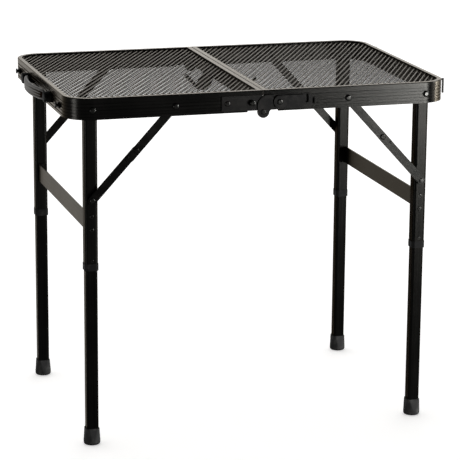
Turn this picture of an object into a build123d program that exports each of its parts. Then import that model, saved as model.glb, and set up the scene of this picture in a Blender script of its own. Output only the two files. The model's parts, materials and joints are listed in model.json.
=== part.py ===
from build123d import *
import math
import os

# Folding side table: two mesh-topped half frames hinged at the middle, with folding leg sets.
# Millimetres. X runs along the table, Y across it, Z up. The origin is on the floor, under the
# middle of the hinge line. Side parts are drawn on the +Y side and end parts on the +X end,
# and then mirrored.

# ---- driving dimensions -------------------------------------------------------------------
TOP_L = 600.0            # length of the open top
TOP_W = 400.0            # width of the top
TOP_H = 542.0            # height of the top's rim
RIM_H = 32.5             # height of the rim extrusion
RIM_WALL = 2.0
RIM_EDGE_R = 1.2
CORNER_R = 40.0
LIP_W = 7.0
LIP_T = 2.0
RIB_PITCH = 4.9          # grooves between the rim's moulded ribs
RIB_COUNT = 5
RIB_START = 4.0          # lowest groove, above the rim's bottom edge
GROOVE_W = 1.7
GROOVE_D = 0.9
SEAM_GAP = 0.5           # space between the two rims at the hinge line
BAR_GAP = 1.6            # space between the two centre bars
NOTCH_X = 24.0           # the rim's bottom edge is cut back beside the hinge line
NOTCH_H = 2.0
BAR_W = 8.0              # centre bar's top flange
BAR_T = 2.0
WEB_LOW_Z = 513.5        # lower edge of the centre bar's web
WEB_END_Y = 164.0        # the web stops short of the folded legs
HOOK_T = 3.0             # stowing hooks for the lower legs, under the centre bars
HOOK_Y = (0.0, 50.0)     # right one and left one
HOOK_ROOT_Z = (517.0, 535.0)
HOOK_LOW_Z = 497.0
HOOK_TIP_Z = 525.0
HOOK_FOOT_T = 1.6        # the plate's foot, bent along the web
HOOK_FOOT_Y = 14.0
MESH_T = 1.8

PIVOT_X = 262.0          # leg pivot, from the hinge line
PIVOT_Z = 524.0
LEG_Y = 178.0            # leg centre line, from the middle
LEG_W = 20.0
LEG_WALL = 0.6
LEG_R = 4.0              # rounding of the leg tube's corners
LEG_TOP_R = 12.0
LOWER_W = 18.4
LOWER_R = 3.6
UPPER_END_Z = 277.8
LOWER_TOP_Z = 302.0
COLLAR_Z = (276.5, 287.0)
COLLAR_W = 21.4
DETENT_Z = 291.5
FOOT_R = 12.9
FOOT_H = 26.0
FOOT_SOLE = 4.0

CROSS_Z = (336.0, 364.0)
CROSS_X = 267.0          # outer face of the crossbar's web
CROSS_T = 2.0
CROSS_TAB = 13.0
CROSS_RIVET_Z = (339.6, 360.2)
CROSS_RIVET_R = 1.9

BRACE_RAIL_X = 135.5     # brace rivet on the rail
BRACE_LEG_DROP = 138.0   # brace rivet on the leg, below the leg pivot
BRACE_W = 13.0
BRACE_T = 1.6
BRACE_TAIL = 21.0        # how far the upper link runs on past the knee
FOLDED_GAP = PIVOT_X - BRACE_LEG_DROP - BRACE_RAIL_X

HINGE_LINK_R = 9.2
HINGE_PIN_R = 3.0
PLATE_T = 1.6
PLATE_TOP_Z = 535.0
PLATE_LOW_Z = 512.5
PLATE_RIVET_X = 56.0
LEFT_PLATE_END = 65.0    # far end of the left plate, from the hinge line
RIGHT_PLATE_END = 76.0
JOGGLE_X = (10.5, 15.5)  # where the right plate steps out into its tongue
LEVER_X = 25.1           # lock lever's rivet, from the hinge line
STUD_X = 17.7            # stud that the lever hooks, from the hinge line
LEVER_T = 1.6
LEVER_W = 19.0
LATCH_W = 11.0
LATCH_Y = 145.0          # end latches, from the middle
LATCH_Z = 514.0
CATCH_Z = 524.0
FINGER_T = 2.4           # the latch's finger bar
HANDLE_END_Y = 80.0
HANDLE_X = TOP_L / 2 + 6.0   # the handle's turning axis, from the hinge line
HANDLE_OUT = 19.0
GRIP_H = 17.0

SHANK_R = 2.5
PIVOT_R = 3.0
RAIL_HEAD_R = 4.8
RAIL_HEAD_H = 2.8
RUN = 0.05               # radial clearance of a turning joint
FIT = 0.02               # radial clearance of a fixed rivet

# ---- worked-out places --------------------------------------------------------------------
RIM_BOTTOM = TOP_H - RIM_H
FACE_Y = TOP_W / 2
FACE_X = TOP_L / 2
INNER_Y = FACE_Y - RIM_WALL
LEG_FACE = LEG_Y + LEG_W / 2
HINGE_Z = RIM_BOTTOM
LINK_OUT_Y = (INNER_Y - 3.7, INNER_Y - 3.7 + BRACE_T)
LINK_IN_Y = (LINK_OUT_Y[0] - 0.4 - BRACE_T, LINK_OUT_Y[0] - 0.4)
LEG_RIVET_Z = PIVOT_Z - BRACE_LEG_DROP
BRACE_LEN = math.hypot(PIVOT_X - BRACE_RAIL_X, BRACE_LEG_DROP)
UPPER_LINK = (BRACE_LEN + FOLDED_GAP) / 2
LOWER_LINK = BRACE_LEN - UPPER_LINK
BRACE_DIR = ((PIVOT_X - BRACE_RAIL_X) / BRACE_LEN, -BRACE_LEG_DROP / BRACE_LEN)
KNEE = (BRACE_RAIL_X + UPPER_LINK * BRACE_DIR[0], PIVOT_Z + UPPER_LINK * BRACE_DIR[1])
BRACE_ANGLE = math.degrees(math.atan2(BRACE_DIR[1], BRACE_DIR[0]))
PLATE_Y = (FACE_Y, FACE_Y + PLATE_T)
TONGUE_Y = (PLATE_Y[1] + 0.3, PLATE_Y[1] + 0.3 + PLATE_T)
LEVER_Y = (TONGUE_Y[1] + 0.4, TONGUE_Y[1] + 0.4 + LEVER_T)
LEVER_REACH = LEVER_X + STUD_X
LATCH_REACH = LATCH_Z + CATCH_Z - 2 * HINGE_Z
LATCH_OUT = (FACE_X + 2.9, FACE_X + 2.9 + LEVER_T)
LATCH_TAB_X = FACE_X + 11.4

os.makedirs("parts", exist_ok=True)


# ---- helpers ------------------------------------------------------------------------------
def slab(sketch, y0, y1):
    """A sketch drawn in x and z, as a solid from y0 to y1."""
    plane = Plane(origin=(0, y1, 0), x_dir=(1, 0, 0), z_dir=(0, -1, 0))
    return extrude(plane * sketch, y1 - y0)


def end_slab(sketch, x0, x1):
    """A sketch drawn in y and z, as a solid from x0 to x1."""
    plane = Plane(origin=(x0, 0, 0), x_dir=(0, 1, 0), z_dir=(1, 0, 0))
    return extrude(plane * sketch, x1 - x0)


def at(a, b, sketch):
    return Pos(a, b) * sketch


def bounded(a0, a1, b0, b1):
    """A rectangle given by its limits."""
    return at((a0 + a1) / 2, (b0 + b1) / 2, Rectangle(a1 - a0, b1 - b0))


def front_and_back(shape):
    return [shape, mirror(shape, about=Plane.XZ)]


def to_left(shapes):
    return [mirror(s, about=Plane.YZ) for s in shapes]


def node(name, shapes):
    """Write one node: its separate solids in one file."""
    solids = []
    for shape in shapes:
        solids += shape.solids()
    whole = solids[0] if len(solids) == 1 else Compound(children=solids)
    whole.label = name
    export_step(whole, f"parts/{name}.step")


def domed(make, place, r, start, height):
    """A rivet head: a disc whose outer edge is rounded over."""
    head = make(at(*place, Circle(r)), start, start + height)
    outer = head.edges().sort_by(Axis.Y if make is slab else Axis.X)[-1]
    return fillet(outer, height * 0.85)


def rivet(make, place, inner, face, shank_r=SHANK_R, head_r=4.2, head_h=1.7):
    """A rivet from its inner end to the surface it is headed over."""
    return make(at(*place, Circle(shank_r)), inner, face) + domed(make, place, head_r, face, head_h)


def hole(make, place, y0, y1, r=SHANK_R + FIT):
    return make(at(*place, Circle(r)), y0 - 1, y1 + 1)


def ring(outset, inset, z0, z1):
    """The rim's outline between two insets from its outer face, from z0 to z1."""
    outer = RectangleRounded(TOP_L - 2 * outset, TOP_W - 2 * outset, CORNER_R - outset)
    inner = RectangleRounded(TOP_L - 2 * inset, TOP_W - 2 * inset, CORNER_R - inset)
    return Pos(0, 0, z0) * extrude(outer - inner, z1 - z0)


def square_tube(width, radius, z0, z1, wall=0.0):
    """A rounded square bar or tube on the leg's centre line."""
    section = RectangleRounded(width, width, radius)
    if wall:
        section -= RectangleRounded(width - 2 * wall, width - 2 * wall, max(radius - wall, 0.5))
    return Pos(PIVOT_X, LEG_Y, z0) * extrude(section, z1 - z0)


def strap(length, width, tail=0.0):
    """A flat strap with round ends, from the origin along +x; tail lengthens its far end."""
    span = length + tail
    return at(span / 2, 0, SlotCenterToCenter(span, width))


# ---- top: rim, centre bars, mesh ----------------------------------------------------------
def half_rim(stud_x):
    """The +X half of the rim; stud_x is where its side rails take the lock's stud or rivet."""
    rim = ring(0, RIM_WALL, RIM_BOTTOM, TOP_H) + ring(0, LIP_W, TOP_H - LIP_T, TOP_H)
    for i in range(RIB_COUNT):
        low = RIM_BOTTOM + RIB_START + i * RIB_PITCH
        rim -= ring(-1, GROOVE_D, low, low + GROOVE_W)
    outer = []
    for e in rim.edges():
        p = e @ 0.5
        out_x = max(abs(p.X) - FACE_X + CORNER_R, 0)
        out_y = max(abs(p.Y) - FACE_Y + CORNER_R, 0)
        if abs(p.Z - TOP_H) < 0.01 and abs(math.hypot(out_x, out_y) - CORNER_R) < 0.01:
            outer.append(e)
    rim = fillet(outer, RIM_EDGE_R)
    rim &= Pos(TOP_L / 2 + SEAM_GAP / 2, 0, TOP_H / 2) * Box(TOP_L, 2 * TOP_W, 2 * TOP_H)
    rim -= Pos(0, 0, RIM_BOTTOM) * Box(2 * NOTCH_X, 2 * TOP_W, 2 * NOTCH_H)
    for x, r in ((PIVOT_X, PIVOT_R), (BRACE_RAIL_X, SHANK_R), (PLATE_RIVET_X, SHANK_R), (stud_x, SHANK_R)):
        for cut in front_and_back(hole(slab, (x, PIVOT_Z), INNER_Y, FACE_Y, r + FIT)):
            rim -= cut
    return rim


def right_rim():
    rim = half_rim(LEVER_X)
    for side in (1, -1):
        rim -= hole(end_slab, (side * LATCH_Y, LATCH_Z), FACE_X - RIM_WALL, FACE_X)
    return rim


def left_rim():
    rim = mirror(half_rim(STUD_X), about=Plane.YZ)
    for side in (1, -1):
        for y, z in ((LATCH_Y, CATCH_Z), (HANDLE_END_Y, PIVOT_Z)):
            rim -= hole(end_slab, (side * y, z), -FACE_X, -FACE_X + RIM_WALL)
    return rim


def centre_bar():
    """An angle along the hinge line: a top flange between the lips and a web under it."""
    half = FACE_Y - LIP_W - 0.01
    start = BAR_GAP / 2
    flange = slab(bounded(start, BAR_W, TOP_H - BAR_T, TOP_H), -half, half)
    web = slab(bounded(start, start + BAR_T, WEB_LOW_Z, TOP_H), -WEB_END_Y, WEB_END_Y)
    return flange + web


def stow_hook():
    """A hooked plate welded to the centre bar's web; it cradles a lower leg."""
    face = BAR_GAP / 2 + BAR_T
    low, high = HOOK_ROOT_Z
    arm = [(face, high), (face, low), (14, HOOK_LOW_Z + 1), (30, HOOK_LOW_Z)]
    tip = [(53, HOOK_TIP_Z - 4), (49, HOOK_TIP_Z), (33, 508), (21, 526), (15, high)]
    plate = slab(make_face(Polyline(*arm, *tip, close=True)), -HOOK_T / 2, HOOK_T / 2)
    return plate + slab(bounded(face, face + HOOK_FOOT_T, low, high), -HOOK_T / 2, HOOK_FOOT_Y)


def mesh_panel():
    """The expanded-metal panel's outer form, pressed up under the rim's lip."""
    inset = RIM_WALL + 0.1
    sheet = RectangleRounded(TOP_L - 2 * inset, TOP_W - 2 * inset, CORNER_R - inset)
    z1 = TOP_H - LIP_T - 0.01
    panel = Pos(0, 0, z1 - MESH_T) * extrude(sheet, MESH_T)
    start = BAR_GAP / 2 + BAR_T + 0.05
    return panel & Pos(TOP_L / 2 + start, 0, TOP_H) * Box(TOP_L, TOP_W, TOP_H)


# ---- centre hinge -------------------------------------------------------------------------
def left_hinge_plate():
    """Drawn on the -X side: a plate with a round knuckle about the hinge pin."""
    plate = slab(bounded(-LEFT_PLATE_END, -1.0, PLATE_LOW_Z, PLATE_TOP_Z), *PLATE_Y)
    plate = fillet(plate.edges().filter_by(Axis.Y).group_by(Axis.X)[0], 1.5)
    knuckle = at(0, HINGE_Z, Circle(HINGE_LINK_R)) + bounded(-8.0, 0.0, HINGE_Z, HINGE_Z + 12)
    plate += slab(knuckle, PLATE_Y[0] + 0.3, PLATE_Y[1])
    plate -= hole(slab, (0, HINGE_Z), *PLATE_Y, r=HINGE_PIN_R + FIT)
    for x in (PLATE_RIVET_X, STUD_X):
        plate -= hole(slab, (-x, PIVOT_Z), *PLATE_Y)
    return plate


def right_hinge_plate():
    """A plate on the +X rail, joggled out at the middle into a tongue over the knuckle."""
    r = HINGE_LINK_R
    top, low = PLATE_TOP_Z, PLATE_LOW_Z
    start, end = JOGGLE_X
    flat = slab(bounded(start, RIGHT_PLATE_END, low, top), *PLATE_Y)
    flat = fillet(flat.edges().filter_by(Axis.Y).group_by(Axis.X)[-1], 1.5)
    joggle = slab(bounded(start, end, low, top), PLATE_Y[0], TONGUE_Y[1])
    outline = Line((start + 1, low), (r, HINGE_Z))
    outline += ThreePointArc((r, HINGE_Z), (0, HINGE_Z - r), (-r, HINGE_Z))
    outline += Line((-r, HINGE_Z), (-r, HINGE_Z + 8))
    outline += ThreePointArc((-r, HINGE_Z + 8), (-5.4, HINGE_Z + 19.5), (4.5, top))
    outline += Polyline((4.5, top), (start + 1, top), (start + 1, low))
    plate = flat + joggle + slab(make_face(outline), *TONGUE_Y)
    plate -= hole(slab, (0, HINGE_Z), PLATE_Y[0], TONGUE_Y[1], r=HINGE_PIN_R + RUN)
    for x in (PLATE_RIVET_X, LEVER_X):
        plate -= hole(slab, (x, PIVOT_Z), *PLATE_Y)
    return plate


def hinge_pin():
    """A headed pin through the knuckle and the tongue."""
    place = (0, HINGE_Z)
    return rivet(slab, place, PLATE_Y[0] + 0.3, TONGUE_Y[1] + 0.1, HINGE_PIN_R, HINGE_PIN_R + 1.0, 1.4)


def plate_rivet():
    return rivet(slab, (PLATE_RIVET_X, PIVOT_Z), INNER_Y - 1, PLATE_Y[1])


def lever_stud():
    """The grooved stud that the lock lever hooks over, on the left rail."""
    place = (-STUD_X, PIVOT_Z)
    stud = slab(at(*place, Circle(SHANK_R)), INNER_Y - 1, LEVER_Y[1] + 0.4)
    stud += slab(at(*place, Circle(5.0)), PLATE_Y[1], TONGUE_Y[1] - 0.1)
    stud += domed(slab, place, 4.2, LEVER_Y[1] + 0.4, 1.7)
    return stud


def hook_lever(reach, width, tip):
    """A lock lever in its own plane: pivot at the origin, hook slot open towards +y."""
    r = SHANK_R + 0.4
    path = (Circle(reach + r) - Circle(reach - r)) & bounded(0, reach + r, 0, width)
    return strap(reach, width, tip) - path - at(reach, 0, Circle(r)) - Circle(SHANK_R + RUN)


def lock_lever():
    """A lever on the right plate; its hook drops over the left plate's stud when it swings across."""
    tip = 3.0
    lever = slab(at(LEVER_X, PIVOT_Z, hook_lever(LEVER_REACH, LEVER_W, tip)), *LEVER_Y)
    end = LEVER_X + LEVER_REACH + tip + LEVER_W / 2
    tab = slab(bounded(end - 1.7, end - 0.1, PIVOT_Z - 5, PIVOT_Z + 4), LEVER_Y[0], LEVER_Y[1] + 3.5)
    return lever + tab


def lever_rivet():
    place = (LEVER_X, PIVOT_Z)
    body = rivet(slab, place, INNER_Y - 1, LEVER_Y[1] + 0.3, SHANK_R, 4.2, 1.7)
    return body + slab(at(*place, Circle(5.0)), PLATE_Y[1], LEVER_Y[0] - 0.3)


# ---- end latches --------------------------------------------------------------------------
def latch_lever():
    """Stands up on the right end rail and swings down in the rail's plane to hook the catch."""
    upright = Rot(0, 0, 90) * hook_lever(LATCH_REACH, LATCH_W, 0.5)
    lever = end_slab(at(LATCH_Y, LATCH_Z, upright), *LATCH_OUT)
    edge = LATCH_Y + LATCH_W / 2
    top = LATCH_Z + LATCH_REACH
    arm = end_slab(bounded(edge - FINGER_T, edge, top + 1, top + 4), LATCH_OUT[0], LATCH_TAB_X)
    finger = end_slab(bounded(edge - FINGER_T, edge, LATCH_Z, top + 4), LATCH_TAB_X - FINGER_T, LATCH_TAB_X)
    return lever + arm + finger


def latch_rivet():
    place = (LATCH_Y, LATCH_Z)
    body = rivet(end_slab, place, FACE_X - RIM_WALL - 1, LATCH_OUT[1] + 0.3, SHANK_R, 4.2, 1.7)
    return body + end_slab(at(*place, Circle(4.5)), FACE_X, LATCH_OUT[0] - 0.3)


def latch_catch():
    """A grooved stud, drawn on the +X end and mirrored to the left end rail."""
    place = (LATCH_Y, CATCH_Z)
    stud = end_slab(at(*place, Circle(SHANK_R)), FACE_X - RIM_WALL - 1, LATCH_OUT[1] + 0.4)
    stud += end_slab(at(*place, Circle(4.6)), FACE_X, LATCH_OUT[0] - 0.4)
    return stud + domed(end_slab, place, 4.2, LATCH_OUT[1] + 0.4, 1.7)


# ---- carry handle -------------------------------------------------------------------------
def handle_bracket():
    """A round boss on the end rail that holds one end of the handle's pin."""
    boss = end_slab(at(HANDLE_END_Y, PIVOT_Z, Circle(8.5)), FACE_X, FACE_X + 10.5)
    boss = fillet(boss.edges().sort_by(Axis.X)[-1], 2.5)
    bore = Pos(HANDLE_X, HANDLE_END_Y - 6, PIVOT_Z) * Rot(90, 0, 0) * Cylinder(2.2 + RUN, 12)
    return boss - bore - hole(end_slab, (HANDLE_END_Y, PIVOT_Z), FACE_X, FACE_X + 1, 1.8 + FIT)


def handle_screw():
    return end_slab(at(HANDLE_END_Y, PIVOT_Z, Circle(1.8)), FACE_X - RIM_WALL - 1, FACE_X + 1.8)


def handle_arc(half_span, rise, thickness, height):
    """A bowed strap in plan: its ends at +-half_span, its middle standing out by rise."""
    x = HANDLE_X
    outer = ThreePointArc((x, half_span), (x + rise, 0), (x, -half_span))
    inner = ThreePointArc((x - thickness, -half_span), (x + rise - thickness, 0), (x - thickness, half_span))
    loop = outer + Line((x, -half_span), (x - thickness, -half_span)) + inner
    loop += Line((x - thickness, half_span), (x, half_span))
    return Pos(0, 0, PIVOT_Z - height / 2) * extrude(make_face(loop), height)


def handle_strap():
    """The handle's core strap, with a turning pin at each end."""
    rise = HANDLE_OUT - 6.0 - 2.4
    core = Pos(1.1, 0, 0) * handle_arc(HANDLE_END_Y - 9, rise, 2.2, 9.0)
    for side in (1, -1):
        pin = Pos(HANDLE_X, side * (HANDLE_END_Y - 8), PIVOT_Z) * Rot(90, 0, 0) * Cylinder(2.2, 6.0)
        core += pin
    return core


def handle_grip(strap_core):
    """The moulded grip round the middle of the strap."""
    half = HANDLE_END_Y - 16
    rise = HANDLE_OUT - 6.0 - 3.2
    body = Pos(3.2, 0, 0) * handle_arc(half, rise, 7.4, GRIP_H)
    body = fillet(body.edges().group_by(Axis.Z)[-1] + body.edges().group_by(Axis.Z)[0], 2.4)
    side_view = at(0, PIVOT_Z, SlotOverall(2 * half, GRIP_H))
    return (body & end_slab(side_view, FACE_X, FACE_X + 2 * HANDLE_OUT)) - strap_core


# ---- legs ---------------------------------------------------------------------------------
def upper_leg():
    tube = square_tube(LEG_W, LEG_R, UPPER_END_Z, PIVOT_Z + LEG_TOP_R, LEG_WALL)
    keep = at(PIVOT_X, PIVOT_Z, Circle(LEG_TOP_R))
    keep += at(PIVOT_X, PIVOT_Z / 2, Rectangle(4 * LEG_W, PIVOT_Z))
    tube &= slab(keep, 0, TOP_W)
    wall = (LEG_FACE - LEG_WALL, LEG_FACE)
    tube -= slab(at(PIVOT_X, PIVOT_Z, Circle(PIVOT_R + RUN)), wall[0] - 1, wall[1] + 1)
    tube -= slab(at(PIVOT_X, LEG_RIVET_Z, Circle(SHANK_R + FIT)), wall[0] - 1, wall[1] + 1)
    tube -= slab(at(PIVOT_X, DETENT_Z, Circle(2.0 + FIT)), wall[0] - 1, wall[1] + 1)
    back = LEG_Y - LEG_W / 2
    for z in CROSS_RIVET_Z:
        tube -= slab(at(PIVOT_X, z, Circle(CROSS_RIVET_R + FIT)), wall[0] - 1, wall[1] + 1)
        tube -= slab(at(PIVOT_X, z, Circle(CROSS_RIVET_R + FIT)), back - 1, back + LEG_WALL + 1)
    return tube


def lower_leg():
    return square_tube(LOWER_W, LOWER_R, FOOT_SOLE, LOWER_TOP_Z, 1.0)


def foot():
    """A rubber cap that swells from the leg's square to a round tread."""
    tread = Pos(PIVOT_X, LEG_Y, 0) * extrude(Circle(FOOT_R), 8.0)
    tread = fillet(tread.edges().group_by(Axis.Z)[0], 3.0)
    base = Plane(origin=(PIVOT_X, LEG_Y, 8.0)) * RectangleRounded(2 * FOOT_R - 0.6, 2 * FOOT_R - 0.6, 11.8)
    neck = Plane(origin=(PIVOT_X, LEG_Y, FOOT_H)) * RectangleRounded(20.8, 20.8, 4.4)
    cap = tread + loft([base, neck])
    return cap - square_tube(LOWER_W + 0.04, LOWER_R + 0.02, FOOT_SOLE, FOOT_H + 1)


def collar():
    """A plastic bush round the upper leg's end, with a lip that guides the lower leg."""
    low, high = COLLAR_Z
    ring_part = square_tube(COLLAR_W, LEG_R + 0.7, low, high)
    ring_part -= square_tube(LEG_W + 0.04, LEG_R + 0.02, UPPER_END_Z, high + 1)
    return ring_part - square_tube(LOWER_W + 0.6, LOWER_R + 0.3, low - 1, high)


def detent_pin():
    """The locking dimple's pin in the upper leg's outer wall."""
    place = (PIVOT_X, DETENT_Z)
    return rivet(slab, place, LEG_FACE - LEG_WALL, LEG_FACE, 2.0, 2.6, 0.5)


def leg_pivot():
    """The rivet that the leg turns on; its shoulder keeps the leg off the rail."""
    place = (PIVOT_X, PIVOT_Z)
    body = rivet(slab, place, LEG_FACE - LEG_WALL - 0.6, FACE_Y, PIVOT_R, RAIL_HEAD_R, RAIL_HEAD_H)
    return body + slab(at(*place, Circle(2 * PIVOT_R)), LEG_FACE + 0.3, INNER_Y - 1.2)


def crossbar():
    """A flat bar between the two legs, with an end tab bent inwards against each leg."""
    low, high = CROSS_Z
    span = LEG_Y - LEG_W / 2
    middle = (low + high) / 2
    bar = Pos(CROSS_X - CROSS_T / 2, 0, middle) * Box(CROSS_T, 2 * span - 0.02, high - low)
    tab = Pos(CROSS_X - CROSS_TAB / 2, span - 0.01 - CROSS_T / 2, middle) * Box(CROSS_TAB, CROSS_T, high - low)
    for z in CROSS_RIVET_Z:
        tab -= slab(at(PIVOT_X, z, Circle(CROSS_RIVET_R + FIT)), span - CROSS_T - 1, span + 1)
    for each in front_and_back(tab):
        bar += each
    return bar


def crossbar_rivets():
    """Tubular rivets: one set in the leg's outer wall, one through the tab and the inner wall."""
    span = LEG_Y - LEG_W / 2
    rivets = []
    for z in CROSS_RIVET_Z:
        place = (PIVOT_X, z)
        outer = slab(at(*place, Circle(CROSS_RIVET_R)), LEG_FACE - LEG_WALL, LEG_FACE)
        outer += domed(slab, place, 3.3, LEG_FACE, 0.9)
        rivets.append(outer - hole(slab, place, LEG_FACE - 1, LEG_FACE + 1, 1.1))
        inside = span - CROSS_T - 0.01
        shank = slab(at(*place, Circle(CROSS_RIVET_R)), inside, span + LEG_WALL)
        rivets.append(shank + slab(at(*place, Circle(CROSS_RIVET_R + 1.0)), inside - 1.0, inside))
    return rivets


# ---- folding braces -----------------------------------------------------------------------
def brace_upper():
    """The rail's link, with the knee rivet's head and the stop dimple on its tail."""
    turn = Pos(BRACE_RAIL_X, PIVOT_Z) * Rot(0, 0, BRACE_ANGLE)
    outline = turn * (strap(UPPER_LINK, BRACE_W, BRACE_TAIL - BRACE_W / 2) - Circle(SHANK_R + RUN))
    link = slab(outline, *LINK_OUT_Y)
    head = domed(slab, KNEE, 4.4, LINK_OUT_Y[1], 1.7)
    stop = (turn * Pos(UPPER_LINK + 16.0, 3.6)).position
    dimple = domed(slab, (stop.X, stop.Y), 2.0, LINK_OUT_Y[1], 0.9)
    return link + head + dimple


def brace_lower():
    """The leg's link, from the knee down to the rivet on the leg."""
    turn = Pos(*KNEE) * Rot(0, 0, BRACE_ANGLE)
    outline = turn * (strap(LOWER_LINK, BRACE_W) - Pos(LOWER_LINK, 0) * Circle(SHANK_R + RUN))
    return slab(outline, *LINK_IN_Y)


def brace_rail_rivet():
    place = (BRACE_RAIL_X, PIVOT_Z)
    body = rivet(slab, place, LINK_OUT_Y[0], FACE_Y, SHANK_R, RAIL_HEAD_R, RAIL_HEAD_H)
    return body + slab(at(*place, Circle(4.5)), LINK_OUT_Y[1] + 0.3, INNER_Y)


def brace_leg_rivet():
    place = (PIVOT_X, LEG_RIVET_Z)
    body = slab(at(*place, Circle(SHANK_R)), LEG_FACE - LEG_WALL, LINK_IN_Y[1] + 0.2)
    body += domed(slab, place, 4.0, LINK_IN_Y[1] + 0.2, 1.3)
    return body + slab(at(*place, Circle(4.5)), LEG_FACE, LINK_IN_Y[0] - 0.3)


# ---- write the nodes ----------------------------------------------------------------------
def both(shapes):
    made = []
    for s in shapes:
        made += front_and_back(s)
    return made


node("left_rim", [left_rim()])
node("right_rim", [right_rim()])
node("left_centre_bar", to_left([centre_bar()]))
node("right_centre_bar", [centre_bar()])
node("left_mesh", to_left([mesh_panel()]))
node("right_mesh", [mesh_panel()])
for end, y, place in (("right", HOOK_Y[0], lambda shapes: shapes), ("left", HOOK_Y[1], to_left)):
    node(f"{end}_stow_hook", place([Pos(0, y, 0) * stow_hook()]))

node("left_hinge_plates", both([left_hinge_plate()]))
node("right_hinge_plates", both([right_hinge_plate()]))
node("hinge_pins", both([hinge_pin()]))
node("lever_studs", both([lever_stud()]))
node("lever_rivets", both([lever_rivet()]))
node("left_hinge_rivets", to_left(both([plate_rivet()])))
node("right_hinge_rivets", both([plate_rivet()]))

back_lever, front_lever = front_and_back(lock_lever())
node("back_lock_lever", [back_lever])
node("front_lock_lever", [front_lever])
back_latch, front_latch = front_and_back(latch_lever())
node("back_latch", [back_latch])
node("front_latch", [front_latch])
node("latch_rivets", both([latch_rivet()]))
node("latch_catches", to_left(both([latch_catch()])))

core = handle_strap()
node("handle_brackets", to_left(both([handle_bracket()])))
node("handle_screws", to_left(both([handle_screw()])))
node("handle_strap", to_left([core]))
node("handle_grip", to_left([handle_grip(core)]))

for end, place in (("right", lambda shapes: shapes), ("left", to_left)):
    node(f"{end}_leg_pivots", place(both([leg_pivot()])))
    node(f"{end}_brace_rail_rivets", place(both([brace_rail_rivet()])))
    node(f"{end}_crossbar", place([crossbar()]))
    node(f"{end}_crossbar_rivets", place(both(crossbar_rivets())))
    node(f"{end}_leg_collars", place(both([collar()])))
    node(f"{end}_leg_detents", place(both([detent_pin()])))
    node(f"{end}_brace_leg_rivets", place(both([brace_leg_rivet()])))
    pieces = {
        "upper_leg": upper_leg(),
        "lower_leg": lower_leg(),
        "foot": foot(),
        "brace_upper": brace_upper(),
        "brace_lower": brace_lower(),
    }
    for piece, solid in pieces.items():
        back_one, front_one = front_and_back(solid)
        node(f"back_{end}_{piece}", place([back_one]))
        node(f"front_{end}_{piece}", place([front_one]))
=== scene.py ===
import json
import math

import bpy
import numpy as np
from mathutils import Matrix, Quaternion, Vector


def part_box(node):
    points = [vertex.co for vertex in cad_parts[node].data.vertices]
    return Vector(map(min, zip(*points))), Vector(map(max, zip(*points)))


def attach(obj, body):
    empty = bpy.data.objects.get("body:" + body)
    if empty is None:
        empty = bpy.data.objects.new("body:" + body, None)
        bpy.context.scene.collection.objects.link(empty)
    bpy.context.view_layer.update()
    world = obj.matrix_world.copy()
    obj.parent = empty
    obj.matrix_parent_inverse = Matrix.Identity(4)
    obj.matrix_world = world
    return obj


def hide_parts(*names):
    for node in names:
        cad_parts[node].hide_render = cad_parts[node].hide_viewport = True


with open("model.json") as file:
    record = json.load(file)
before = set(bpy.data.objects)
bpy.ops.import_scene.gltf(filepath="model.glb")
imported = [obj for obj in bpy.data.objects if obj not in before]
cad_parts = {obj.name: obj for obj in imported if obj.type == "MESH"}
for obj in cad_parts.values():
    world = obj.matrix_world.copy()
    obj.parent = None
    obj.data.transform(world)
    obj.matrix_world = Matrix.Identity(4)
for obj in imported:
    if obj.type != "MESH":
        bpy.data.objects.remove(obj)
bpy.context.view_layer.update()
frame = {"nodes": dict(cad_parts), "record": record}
NODES = frame["nodes"]

# ---- sizes, in metres -----------------------------------------------------------------------
RIM_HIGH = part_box("right_rim")[1]
TOP_L = 2 * RIM_HIGH.x
TOP_W = 2 * RIM_HIGH.y
CORNER_R = 0.040
MESH_LOW, MESH_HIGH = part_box("right_mesh")
MESH_INSET = TOP_L / 2 - MESH_HIGH.x
MESH_EDGE_GAP = 0.0005   # between a strand's end and the panel's outline

CELL_LONG = 0.0157       # expanded metal: long way of a diamond, across the table
CELL_SHORT = 0.0088      # short way, along the table
BOND_LONG = 0.0030       # how long two strands run side by side where they meet
STRAND_W = 0.00125
STRAND_T = 0.00158
STRAND_LEAN = 12.0       # degrees that each strand leans over
STRAND_RISE = 0.0001     # half the rise and dip of a strand between its bonds
BOND_OVERLAP = 0.0001    # how far each strand reaches into its neighbour at a bond

GRIP_LOW, GRIP_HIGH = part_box("handle_grip")
GRIP_THICK = 0.0074
GRIP_RIBS = 4            # lengthwise ribs on its outer face
GRIP_RIB_DEPTH = 0.0013
GRIP_SQUARENESS = 0.55   # power of the section's curve: 1 is an ellipse, less is squarer
GRIP_TIP = 0.05          # share of the section's height left at each end
GRIP_TIP_THICK = 0.55    # share of its thickness that doesn't taper
GRIP_RIB_SIDE = -0.2     # the ribs start where the section's cosine falls below this
GRIP_STEPS_AROUND = 96
GRIP_STEPS_ALONG = 64

# ---- camera and floor, in metres unless a comment says otherwise ----------------------------
CAMERA_PLACE = (-0.998, -3.327, 1.169)
CAMERA_DIRECTION = (0.281, 0.927, -0.249)
CAMERA_ROLL = 0.46       # degrees
CAMERA_LENS = 174.2      # millimetres, on a sensor 36 wide
FLOOR_HALF = 30.0        # half the floor's side
FLOOR_GLOW = 0.38        # strength of the light table under the floor


# ---- shader helpers -------------------------------------------------------------------------
def new_material(name):
    mat = bpy.data.materials.new(name)
    mat.use_nodes = True
    tree = mat.node_tree
    return mat, tree, tree.nodes["Principled BSDF"]


def coordinates(tree, scale):
    """The piece's own coordinates in metres, stretched by scale on each axis."""
    coords = tree.nodes.new("ShaderNodeTexCoord")
    mapping = tree.nodes.new("ShaderNodeMapping")
    mapping.inputs["Scale"].default_value = scale
    tree.links.new(coords.outputs["Object"], mapping.inputs["Vector"])
    return mapping.outputs["Vector"]


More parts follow.
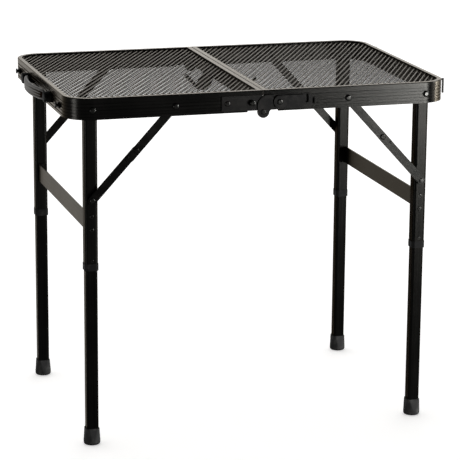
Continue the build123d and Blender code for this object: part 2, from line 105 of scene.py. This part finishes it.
def noise(tree, scale, detail=3.0, roughness=0.55):
    """Noise whose scale is given in waves per metre, one number for each axis."""
    tex = tree.nodes.new("ShaderNodeTexNoise")
    tex.inputs["Scale"].default_value = 1.0
    tex.inputs["Detail"].default_value = detail
    tex.inputs["Roughness"].default_value = roughness
    tree.links.new(coordinates(tree, scale), tex.inputs["Vector"])
    return tex.outputs["Fac"]


def ramp(tree, value, low, high, to_low=0.0, to_high=1.0):
    node = tree.nodes.new("ShaderNodeMapRange")
    node.inputs["From Min"].default_value = low
    node.inputs["From Max"].default_value = high
    node.inputs["To Min"].default_value = to_low
    node.inputs["To Max"].default_value = to_high
    tree.links.new(value, node.inputs["Value"])
    return node.outputs["Result"]


def mix_colour(tree, factor, first, second):
    """Blends from the first plain colour to the second."""
    node = tree.nodes.new("ShaderNodeMix")
    node.data_type = "RGBA"
    tree.links.new(factor, node.inputs["Factor"])
    for key, colour in (("A", first), ("B", second)):
        socket = [s for s in node.inputs if s.name == key and s.type == "RGBA"][0]
        socket.default_value = (*colour, 1.0)
    return [s for s in node.outputs if s.type == "RGBA"][0]


def add(tree, first, second):
    node = tree.nodes.new("ShaderNodeMath")
    node.operation = "ADD"
    for socket, value in zip(node.inputs, (first, second)):
        tree.links.new(value, socket)
    return node.outputs[0]


def bump(tree, shader, height, distance, strength, under=None):
    """Adds relief to a shader, on top of the relief that is already under it."""
    node = tree.nodes.new("ShaderNodeBump")
    node.inputs["Strength"].default_value = strength
    node.inputs["Distance"].default_value = distance
    tree.links.new(height, node.inputs["Height"])
    if under is not None:
        tree.links.new(under, node.inputs["Normal"])
    tree.links.new(node.outputs["Normal"], shader.inputs["Normal"])
    return node.outputs["Normal"]


# ---- materials ------------------------------------------------------------------------------
def coated_metal(name, colour, dust, rough, streak, dusty=0.35, edge=0.66):
    """
    Satin black finish with fine orange peel, faint streaks and thin dust. streak stretches the
    streaks, dusty is how far dust dulls the metal, and edge is its sheen at a low angle.
    """
    mat, tree, shader = new_material(name)
    cloud = ramp(tree, noise(tree, (11, 11, 11)), 0.40, 0.75, 0.0, 0.14)
    speck = ramp(tree, noise(tree, (900, 900, 900), 1.0), 0.60, 0.78, 0.0, 0.30)
    lines = ramp(tree, noise(tree, streak, 2.0), 0.40, 0.75, 0.0, 0.14)
    marks = add(tree, add(tree, cloud, lines), speck)
    tree.links.new(mix_colour(tree, marks, colour, dust), shader.inputs["Base Color"])
    tree.links.new(ramp(tree, marks, 0.0, 1.0, 1.0, 1.0 - dusty), shader.inputs["Metallic"])
    spread = ramp(tree, add(tree, cloud, lines), 0.0, 0.5, rough - 0.04, rough + 0.06)
    tree.links.new(spread, shader.inputs["Roughness"])
    peel = noise(tree, (1500, 1500, 1500), 2.0)
    under = bump(tree, shader, peel, 0.00012, 0.35)
    bump(tree, shader, lines, 0.00010, 0.15, under)
    shader.inputs["Specular IOR Level"].default_value = 0.1
    shader.inputs["Specular Tint"].default_value = (edge, 0.96 * edge, 0.90 * edge, 1.0)
    return mat


def rivet_metal():
    """Blackened rivets, rubbed a little brighter in places."""
    mat, tree, shader = new_material("rivet")
    wear = ramp(tree, noise(tree, (700, 700, 700), 4.0), 0.52, 0.74)
    colour = mix_colour(tree, wear, (0.0055, 0.0055, 0.0052), (0.0120, 0.0116, 0.0108))
    tree.links.new(colour, shader.inputs["Base Color"])
    tree.links.new(ramp(tree, wear, 0.0, 1.0, 0.20, 0.28), shader.inputs["Roughness"])
    bump(tree, shader, noise(tree, (1200, 1200, 1200)), 0.00006, 0.4)
    shader.inputs["Metallic"].default_value = 1.0
    shader.inputs["Specular Tint"].default_value = (0.45, 0.45, 0.45, 1.0)
    return mat


def grained_plastic(name, colour, light, rough, gloss, grain=1100.0):
    """Plastic or rubber with a fine pebbled grain and lighter scuffs."""
    mat, tree, shader = new_material(name)
    cells = tree.nodes.new("ShaderNodeTexVoronoi")
    cells.inputs["Scale"].default_value = 1.0
    tree.links.new(coordinates(tree, (grain, grain, grain)), cells.inputs["Vector"])
    scuff = ramp(tree, noise(tree, (120, 120, 120), 5.0), 0.50, 0.75)
    tree.links.new(mix_colour(tree, scuff, colour, light), shader.inputs["Base Color"])
    tree.links.new(ramp(tree, scuff, 0.0, 1.0, rough, rough + 0.15), shader.inputs["Roughness"])
    bump(tree, shader, cells.outputs["Distance"], 0.00015, 0.35)
    shader.inputs["Specular IOR Level"].default_value = gloss
    return mat


def coats():
    """The metal parts' finishes, by material slot."""
    black = (0.0018, 0.0018, 0.0017)
    warm = (0.0072, 0.0068, 0.0062)
    leg_black = (0.0015, 0.0015, 0.0014)
    leg_warm = (0.0056, 0.0053, 0.0049)
    mesh_black = (0.005, 0.0048, 0.0045)
    mesh_warm = (0.026, 0.0245, 0.022)
    hinge_black = (0.0015, 0.0015, 0.0015)
    along_rail = (4, 4, 900)
    along_bar = (5, 5, 700)
    along_leg = (700, 700, 5)
    return {
        "rim": coated_metal("rim_coat", black, warm, 0.25, along_rail),
        "mesh": coated_metal("mesh_coat", mesh_black, mesh_warm, 0.36, (60, 60, 60), 0.3, 0.9),
        "leg": coated_metal("leg_coat", leg_black, leg_warm, 0.34, along_leg, edge=0.46),
        "lower_leg": coated_metal("lower_leg_coat", leg_black, leg_warm, 0.30, along_leg, edge=0.46),
        "crossbar": coated_metal("crossbar_coat", black, warm, 0.36, along_bar, edge=0.65),
        "strap_metal": coated_metal("strap_coat", black, warm, 0.31, (90, 90, 90), edge=0.5),
        "hinge_metal": coated_metal("hinge_coat", hinge_black, warm, 0.46, (120, 120, 120)),
        "rivet": rivet_metal(),
    }


def mouldings():
    """The plastic and rubber parts' finishes, by material slot."""
    plastic = (0.0010, 0.0010, 0.0010)
    plastic_scuff = (0.005, 0.0048, 0.0044)
    foot = (0.0022, 0.0022, 0.0022)
    foot_scuff = (0.009, 0.0087, 0.0081)
    grip = (0.016, 0.015, 0.014)
    grip_scuff = (0.045, 0.042, 0.038)
    return {
        "plastic": grained_plastic("black_moulding", plastic, plastic_scuff, 0.50, 0.02),
        "foot_rubber": grained_plastic("foot_rubber", foot, foot_scuff, 0.60, 0.05, 800.0),
        "grip": grained_plastic("grip_rubber", grip, grip_scuff, 0.45, 0.20, 900.0),
    }


# ---- mesh helpers ---------------------------------------------------------------------------
def piece(name, points, faces, material, body, smooth=False):
    """A visual piece that rides on a body and takes its finish from a material slot."""
    mesh = bpy.data.meshes.new(name)
    mesh.from_pydata([tuple(p) for p in points], [], [tuple(int(i) for i in f) for f in faces])
    mesh.validate()
    if smooth:
        mesh.shade_smooth()
    obj = bpy.data.objects.new(name, mesh)
    bpy.context.scene.collection.objects.link(obj)
    obj.data.materials.append(material)
    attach(obj, body)
    return obj


def ribbon(path, width_axis, width, thick_axis, thick):
    """A bar of rectangular section along a path of points; returns its points and faces."""
    half_w = np.array(width_axis) * width / 2
    half_t = np.array(thick_axis) * thick / 2
    corners = [half_w + half_t, -half_w + half_t, -half_w - half_t, half_w - half_t]
    points = np.concatenate([path + c for c in corners], axis=0)
    count = len(path)
    faces = []
    for side in range(4):
        a = side * count + np.arange(count - 1)
        b = ((side + 1) % 4) * count + np.arange(count - 1)
        faces.append(np.stack([a, a + 1, b + 1, b], axis=1))
    ends = np.arange(4) * count
    faces.append(np.array([ends, ends[::-1] + count - 1]))
    return points, np.concatenate(faces, axis=0)


# ---- the expanded-metal panels --------------------------------------------------------------
def half_width_at(x):
    """How far the panel reaches across the table at a place along it."""
    radius = CORNER_R - MESH_INSET
    over = max(0.0, x - (TOP_L / 2 - CORNER_R))
    drop = radius - math.sqrt(max(0.0, radius ** 2 - min(over, radius) ** 2))
    return TOP_W / 2 - MESH_INSET - drop


def strand_path(x, phase, reach):
    """One strand runs across the table in a zigzag, flat for a short stretch at each bond."""
    step = CELL_LONG / 2
    first = math.floor(-reach / step) - 1
    last = math.ceil(reach / step) + 1
    along, side = [], []
    for k in range(first, last + 1):
        sign = 1.0 if (k + phase) % 2 == 0 else -1.0
        along += [k * step - BOND_LONG / 2, k * step + BOND_LONG / 2]
        side += [sign, sign]
    along, side = np.array(along), np.array(side)
    y = np.concatenate([[-reach], along[(along > -reach) & (along < reach)], [reach]])
    s = np.interp(y, along, side)
    swing = (CELL_SHORT / 2 - STRAND_W) / 2 + BOND_OVERLAP
    z = (MESH_LOW.z + MESH_HIGH.z) / 2 - STRAND_RISE * s
    return np.stack([x + swing * s, y, z], axis=1)


def expanded_panel(side, material):
    """The strands of one half's panel, side by side along the table, as one piece."""
    points, faces, base = [], [], 0
    pitch = CELL_SHORT / 2
    lean = math.radians(STRAND_LEAN if side == "right" else -STRAND_LEAN)
    wide = (math.cos(lean), 0, -math.sin(lean))
    thick = (math.sin(lean), 0, math.cos(lean))
    count = int((MESH_HIGH.x - MESH_LOW.x) / pitch)
    for i in range(count):
        x = MESH_LOW.x + pitch * (i + 0.5)
        path = strand_path(x, i, half_width_at(x + pitch / 2) - MESH_EDGE_GAP)
        strip, quads = ribbon(path, wide, STRAND_W, thick, STRAND_T)
        points.append(strip)
        faces.append(quads + base)
        base += len(strip)
    points, faces = np.concatenate(points), np.concatenate(faces)
    if side == "left":
        points[:, 0] *= -1
        faces = faces[:, ::-1]
    points[:, 2] = np.clip(points[:, 2], MESH_LOW.z, MESH_HIGH.z)
    panel = piece(f"{side}_expanded_mesh", points, faces, material, f"{side}_half")
    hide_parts(f"{side}_mesh")


# ---- handle grip ----------------------------------------------------------------------------
def grip_section(centre_x, y, size):
    """One ring of the grip's surface: a squarish oval, ribbed on the side away from the table."""
    half_z = (GRIP_HIGH.z - GRIP_LOW.z) / 2
    middle_z = (GRIP_HIGH.z + GRIP_LOW.z) / 2
    ring = []
    for i in range(GRIP_STEPS_AROUND):
        turn = 2 * math.pi * i / GRIP_STEPS_AROUND
        c, s = math.cos(turn), math.sin(turn)
        half_x = GRIP_THICK / 2 * (GRIP_TIP_THICK + (1 - GRIP_TIP_THICK) * size)
        x = math.copysign(abs(c) ** GRIP_SQUARENESS * half_x, c)
        z = math.copysign(abs(s) ** GRIP_SQUARENESS * half_z * size, s)
        if c < GRIP_RIB_SIDE:
            x += GRIP_RIB_DEPTH * (0.5 + 0.5 * math.cos(math.pi * GRIP_RIBS * z / half_z))
        ring.append((centre_x + x, y, middle_z + z))
    return ring


def handle_grip(material):
    """A bowed rubber grip, its outer face moulded in lengthwise ribs."""
    half_z = (GRIP_HIGH.z - GRIP_LOW.z) / 2
    half_y = GRIP_HIGH.y
    bow = (GRIP_HIGH.x - GRIP_LOW.x) - GRIP_THICK
    around, along = GRIP_STEPS_AROUND, GRIP_STEPS_ALONG
    points, faces = [], []
    for j in range(along + 1):
        t = -1 + 2 * j / along
        y = half_y * t
        into_end = max(0.0, (abs(y) - (half_y - half_z)) / half_z)
        size = max(math.sqrt(max(0.0, 1 - into_end ** 2)), GRIP_TIP)
        centre_x = GRIP_HIGH.x - GRIP_THICK / 2 - bow * (1 - t * t)
        points += grip_section(centre_x, y, size)
    for j in range(along):
        for i in range(around):
            a = j * around + i
            b = j * around + (i + 1) % around
            faces.append((a, b, b + around, a + around))
    faces.append(tuple(range(around))[::-1])
    faces.append(tuple(along * around + i for i in range(around)))
    grip = piece("ribbed_grip", points, faces, material, "handle", smooth=True)
    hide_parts("handle_grip")


# ---- the CAD nodes' finishes ----------------------------------------------------------------
def dress_nodes(materials):
    """Each CAD node gets its slot's finish; the flat crossbars have a finish of their own."""
    for row in frame["record"]["subparts"]:
        obj = NODES[row["node"]]
        obj.data.materials.clear()
        is_bar = row["node"].endswith("_crossbar")
        obj.data.materials.append(materials["crossbar" if is_bar else row["material_slot"]])


# ---- camera, light and floor ----------------------------------------------------------------
def make_camera():
    data = bpy.data.cameras.new("view_camera")
    data.lens = CAMERA_LENS
    data.sensor_width = 36.0
    data.clip_end = 100.0
    cam = bpy.data.objects.new("view_camera", data)
    cam.location = CAMERA_PLACE
    look = Vector(CAMERA_DIRECTION).to_track_quat("-Z", "Y")
    cam.rotation_mode = "QUATERNION"
    cam.rotation_quaternion = look @ Quaternion((0, 0, 1), math.radians(CAMERA_ROLL))
    bpy.context.scene.collection.objects.link(cam)
    bpy.context.scene.camera = cam


def make_world(front, back):
    """A plain studio surround, darker in front of the table than behind it and above."""
    world = bpy.data.worlds.new("studio")
    bpy.context.scene.world = world
    world.use_nodes = True
    tree = world.node_tree
    coords = tree.nodes.new("ShaderNodeTexCoord")
    split = tree.nodes.new("ShaderNodeSeparateXYZ")
    tree.links.new(coords.outputs["Generated"], split.inputs["Vector"])
    strength = ramp(tree, split.outputs["Y"], -0.6, 0.5, front, back)
    background = tree.nodes["Background"]
    background.inputs["Color"].default_value = (1.0, 0.99, 0.975, 1.0)
    tree.links.new(strength, background.inputs["Strength"])


def area_light(name, place, target, size, power):
    """A rectangular soft light that faces its target and isn't seen itself."""
    data = bpy.data.lights.new(name, "AREA")
    data.shape = "RECTANGLE"
    data.size, data.size_y = size
    data.energy = power
    light = bpy.data.objects.new(name, data)
    light.location = place
    light.rotation_euler = (Vector(target) - Vector(place)).to_track_quat("-Z", "Y").to_euler()
    light.visible_camera = False
    bpy.context.scene.collection.objects.link(light)
    return light


def make_lights():
    """Returns the near lights; the floor is a light table and does without them."""
    make_world(0.38, 1.05)
    area_light("top_softbox", (0, 2.4, 3.2), (0, 1.6, 0), (4.0, 3.0), 16)
    area_light("back_softbox", (2.4, 4.3, 1.5), (0, 0, 0.5), (4.0, 2.4), 30)
    right = area_light("right_softbox", (2.8, -0.7, 1.6), (0, 0, 0.4), (0.8, 0.8), 560)
    panel = area_light("right_panel", (0.92, -1.5, 0.36), (0.30, 0, 0.46), (0.36, 0.42), 86)
    right_low = area_light("right_low_softbox", (1.9, -0.4, 0.26), (0, -0.2, 0.3), (1.4, 0.5), 26)
    right_strip = area_light("right_strip", (2.0, -0.3, 0.45), (-0.3, -0.2, 0.35), (0.12, 0.9), 60)
    left = area_light("left_softbox", (-1.9, -0.65, 0.32), (-0.3, -0.2, 0.4), (0.5, 0.7), 36)
    return right, right_low, right_strip, panel, left


def floor_paper():
    mat, tree, shader = new_material("floor_paper")
    grain = noise(tree, (60, 60, 60), 2.0)
    colour = mix_colour(tree, grain, (0.90, 0.90, 0.90), (0.93, 0.93, 0.93))
    tree.links.new(colour, shader.inputs["Base Color"])
    shader.inputs["Roughness"].default_value = 0.9
    shader.inputs["Specular IOR Level"].default_value = 0.1
    shader.inputs["Emission Color"].default_value = (1.0, 1.0, 1.0, 1.0)
    shader.inputs["Emission Strength"].default_value = FLOOR_GLOW
    return mat


def make_floor(not_lit_by):
    """White paper on a light table, so that the near lights throw no shadows on it."""
    mesh = bpy.data.meshes.new("floor")
    signs = [(-1, -1), (1, -1), (1, 1), (-1, 1)]
    corners = [(x * FLOOR_HALF, y * FLOOR_HALF, 0) for x, y in signs]
    mesh.from_pydata(corners, [], [(0, 1, 2, 3)])
    floor = bpy.data.objects.new("floor", mesh)
    floor.data.materials.append(floor_paper())
    bpy.context.scene.collection.objects.link(floor)
    unlit = bpy.data.collections.new("floor_only")
    unlit.objects.link(floor)
    unlit.collection_objects[0].light_linking.link_state = "EXCLUDE"
    for light in not_lit_by:
        light.light_linking.receiver_collection = unlit


# ---- build ----------------------------------------------------------------------------------
materials = {**coats(), **mouldings()}
dress_nodes(materials)
for side in ("left", "right"):
    expanded_panel(side, materials["mesh"])
handle_grip(materials["grip"])

make_camera()
make_floor(make_lights())
bpy.context.scene.view_settings.view_transform = "Standard"
